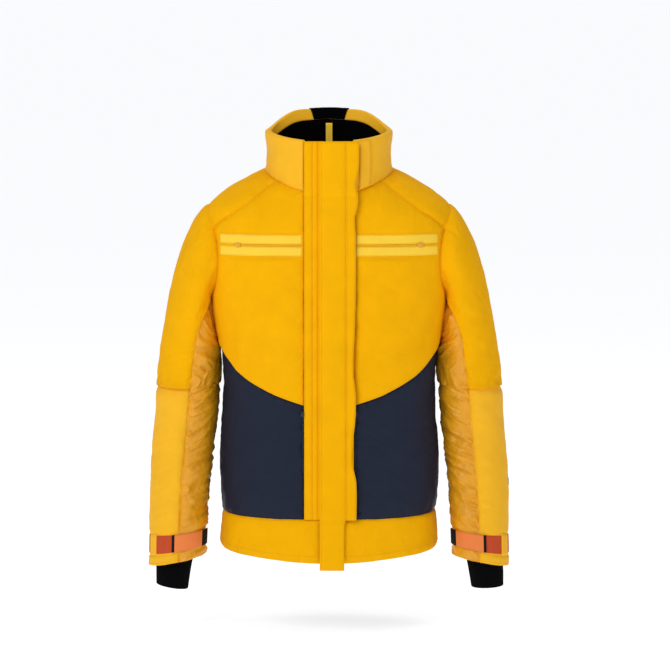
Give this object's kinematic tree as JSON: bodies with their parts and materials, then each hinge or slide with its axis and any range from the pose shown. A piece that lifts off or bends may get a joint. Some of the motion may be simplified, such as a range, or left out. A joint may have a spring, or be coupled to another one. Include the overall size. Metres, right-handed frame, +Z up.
{
  "type": "ski jacket",
  "caption": "Padded ski jacket, zipped shut, with stand collar, storm flap, chest and hand pockets, jointed sleeves and cuff straps, hanging from the loop inside its collar.",
  "frame": {"origin": "bearing face of the hanger loop inside the back of the collar, where a peg or hook carries the jacket", "axes": "+Z up, +X to the wearer's left, -Y to the front of the jacket"},
  "size_m": [0.6677, 0.2925, 0.8808],
  "materials": {
    "matte_yellow_shell": "matte woven polyester face, padded",
    "light_yellow_shell": "smooth woven nylon, padded",
    "gold_nylon": "thin shiny nylon, padded and crinkled",
    "navy_shell": "tightly woven navy nylon, padded",
    "black_lining": "plain woven lining",
    "black_fleece": "brushed fleece",
    "black_knit": "stretch knit",
    "yellow_ribbon": "ribbed woven ribbon",
    "orange_strap": "coated strap with a hook pad under its end",
    "red_loop_pile": "loop pile patch",
    "yellow_zip_plastic": "moulded zip plastic",
    "black_zip_plastic": "moulded zip plastic and cord pull"
  },
  "bodies": {
    "torso": {"left_front_panel": "matte_yellow_shell", "left_lower_panel": "navy_shell", "left_hem_band": "matte_yellow_shell", "left_shoulder_yoke": "matte_yellow_shell", "left_front_lining": "black_lining", "left_hand_pocket_bag": "black_lining", "left_front_strip": "matte_yellow_shell", "left_zip_tape": "matte_yellow_shell", "left_hand_pocket_zip": "navy_shell", "left_chest_band_upper": "yellow_ribbon", "left_chest_band_lower": "yellow_ribbon", "left_chest_zip": "yellow_zip_plastic", "right_front_panel": "matte_yellow_shell", "right_lower_panel": "navy_shell", "right_hem_band": "matte_yellow_shell", "right_shoulder_yoke": "matte_yellow_shell", "right_front_lining": "black_lining", "right_hand_pocket_bag": "black_lining", "right_front_strip": "matte_yellow_shell", "right_zip_tape": "matte_yellow_shell", "right_hand_pocket_zip": "navy_shell", "right_chest_band_upper": "yellow_ribbon", "right_chest_band_lower": "yellow_ribbon", "right_chest_zip": "yellow_zip_plastic", "back_panel": "matte_yellow_shell", "back_lower_panel": "navy_shell", "back_hem_band": "matte_yellow_shell", "back_lining": "black_lining", "collar_shell": "light_yellow_shell", "collar_fleece_lining": "black_fleece", "collar_facing": "light_yellow_shell", "collar_back_patch": "black_fleece", "collar_tab": "light_yellow_shell", "hanger_loop": "light_yellow_shell", "zip_teeth": "yellow_zip_plastic"},
    "storm_flap": {"storm_flap": "matte_yellow_shell"},
    "main_zip_slider": {"main_zip_slider": "yellow_zip_plastic", "main_zip_puller": "yellow_zip_plastic"},
    "sleeve_pocket_slider": {"sleeve_pocket_slider": "black_zip_plastic"},
    "sleeve_pocket_puller": {"sleeve_pocket_puller": "black_zip_plastic"},
    "left_sleeve": {"left_upper_sleeve": "matte_yellow_shell", "left_upper_under_sleeve": "gold_nylon"},
    "left_forearm": {"left_lower_sleeve": "light_yellow_shell", "left_lower_under_sleeve": "gold_nylon", "left_wrist_gaiter": "black_knit", "left_cuff_loop_patch": "red_loop_pile", "sleeve_pocket_zip": "black_zip_plastic"},
    "left_cuff_strap": {"left_cuff_strap": "orange_strap"},
    "left_chest_slider": {"left_chest_slider": "yellow_zip_plastic"},
    "left_hand_pocket_slider": {"left_hand_pocket_slider": "navy_shell"},
    "right_sleeve": {"right_upper_sleeve": "matte_yellow_shell", "right_upper_under_sleeve": "gold_nylon"},
    "right_forearm": {"right_lower_sleeve": "light_yellow_shell", "right_lower_under_sleeve": "gold_nylon", "right_wrist_gaiter": "black_knit", "right_cuff_loop_patch": "red_loop_pile"},
    "right_cuff_strap": {"right_cuff_strap": "orange_strap"},
    "right_chest_slider": {"right_chest_slider": "yellow_zip_plastic"},
    "right_hand_pocket_slider": {"right_hand_pocket_slider": "navy_shell"}
  },
  "joints": [
    {"name": "left_shoulder", "type": "hinge", "parent": "torso", "child": "left_sleeve", "pos_m": [0.222, -0.0702, -0.144], "axis": [0, -1, 0], "range_deg": [0, 65]},
    {"name": "left_elbow", "type": "hinge", "parent": "left_sleeve", "child": "left_forearm", "pos_m": [0.262, -0.1396, -0.481], "axis": [-1, 0, 0], "range_deg": [0, 90]},
    {"name": "left_cuff_strap_peel", "type": "hinge", "parent": "left_forearm", "child": "left_cuff_strap", "pos_m": [0.226, -0.112, -0.765], "axis": [0, 0, -1], "range_deg": [0, 45]},
    {"name": "left_chest_zip_slide", "type": "hinge", "parent": "torso", "child": "left_chest_slider", "pos_m": [0.06092, 0.11304, -0.2123], "axis": [0, 0, -1], "range_deg": [0, 18.5]},
    {"name": "left_hand_zip_slide", "type": "slide", "parent": "torso", "child": "left_hand_pocket_slider", "axis": [0, -0.0479, -0.9989], "range_m": [0, 0.1]},
    {"name": "right_shoulder", "type": "hinge", "parent": "torso", "child": "right_sleeve", "pos_m": [-0.222, -0.0702, -0.144], "axis": [0, 1, 0], "range_deg": [0, 65]},
    {"name": "right_elbow", "type": "hinge", "parent": "right_sleeve", "child": "right_forearm", "pos_m": [-0.262, -0.1396, -0.481], "axis": [-1, 0, 0], "range_deg": [0, 90]},
    {"name": "right_cuff_strap_peel", "type": "hinge", "parent": "right_forearm", "child": "right_cuff_strap", "pos_m": [-0.226, -0.112, -0.765], "axis": [0, 0, 1], "range_deg": [0, 45]},
    {"name": "right_chest_zip_slide", "type": "hinge", "parent": "torso", "child": "right_chest_slider", "pos_m": [-0.06092, 0.11304, -0.2123], "axis": [0, 0, 1], "range_deg": [0, 18.5]},
    {"name": "right_hand_zip_slide", "type": "slide", "parent": "torso", "child": "right_hand_pocket_slider", "axis": [0, -0.0479, -0.9989], "range_m": [0, 0.1]},
    {"name": "storm_flap_hinge", "type": "hinge", "parent": "torso", "child": "storm_flap", "pos_m": [-0.017, -0.20811, -0.41514], "axis": [0, -0.0479, -0.9989], "range_deg": [0, 150]},
    {"name": "main_zip_slide", "type": "slide", "parent": "torso", "child": "main_zip_slider", "axis": [0, -0.0479, -0.9989], "range_m": [0, 0.7]},
    {"name": "sleeve_pocket_zip_slide", "type": "slide", "parent": "left_forearm", "child": "sleeve_pocket_slider", "axis": [-0.042, -0.0043, 0.9991], "range_m": [0, 0.066]},
    {"name": "sleeve_pocket_puller_swing", "type": "hinge", "parent": "sleeve_pocket_slider", "child": "sleeve_pocket_puller", "pos_m": [0.33217, -0.07841, -0.64583], "axis": [0.004, -1, -0.004], "range_deg": [0, 150]}
  ]
}
